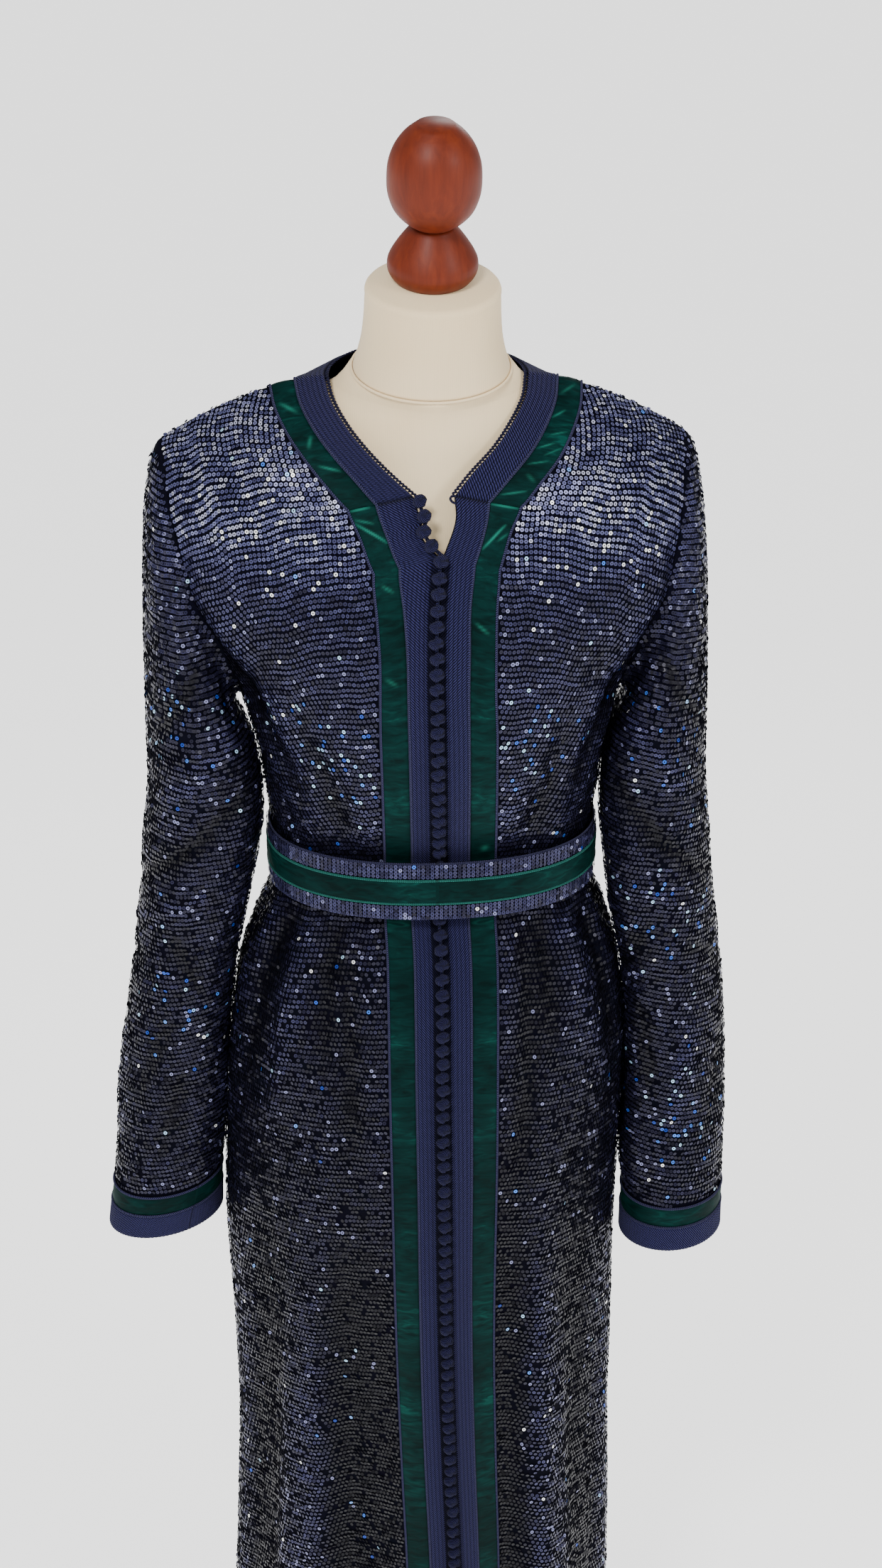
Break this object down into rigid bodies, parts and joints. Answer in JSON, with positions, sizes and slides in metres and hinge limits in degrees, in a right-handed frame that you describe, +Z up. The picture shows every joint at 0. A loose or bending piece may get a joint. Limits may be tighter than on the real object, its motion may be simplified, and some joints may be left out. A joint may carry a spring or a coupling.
{
  "type": "kaftan on a limbless dress form",
  "caption": "Long-sleeved floor-length kaftan with braid and velvet bands, ball-button placket and belt, on a limbless dress form with a turned finial, pole and round base.",
  "frame": {"origin": "centre of the stand base's underside", "axes": "+Z up, -Y the way the garment's front faces, +X the wearer's left"},
  "size_m": [0.5533, 0.31, 1.604],
  "materials": {
    "sequinned_cloth": "navy cloth covered with small dark sequins",
    "navy_braid": "matte ribbed cord braid",
    "green_velvet": "crushed velvet ribbon",
    "form_cover": "cream stretch jersey cover",
    "turned_wood": "satin stained and lacquered wood"
  },
  "bodies": {
    "root": {"front_right": "sequinned_cloth", "front_left": "sequinned_cloth", "back": "sequinned_cloth", "sleeve_right": "sequinned_cloth", "sleeve_left": "sequinned_cloth", "belt_band": "sequinned_cloth", "neck_braid": "navy_braid", "placket_braid_right": "navy_braid", "placket_braid_left": "navy_braid", "cuff_braid_right": "navy_braid", "cuff_braid_left": "navy_braid", "button_row": "navy_braid", "open_buttons": "navy_braid", "neck_velvet": "green_velvet", "front_velvet_right": "green_velvet", "front_velvet_left": "green_velvet", "cuff_velvet_right": "green_velvet", "cuff_velvet_left": "green_velvet", "belt_velvet": "green_velvet", "form_torso": "form_cover", "form_neck": "form_cover", "finial_bell": "turned_wood", "finial_ball": "turned_wood", "stand_pole": "turned_wood", "stand_base": "turned_wood"}
  },
  "joints": []
}
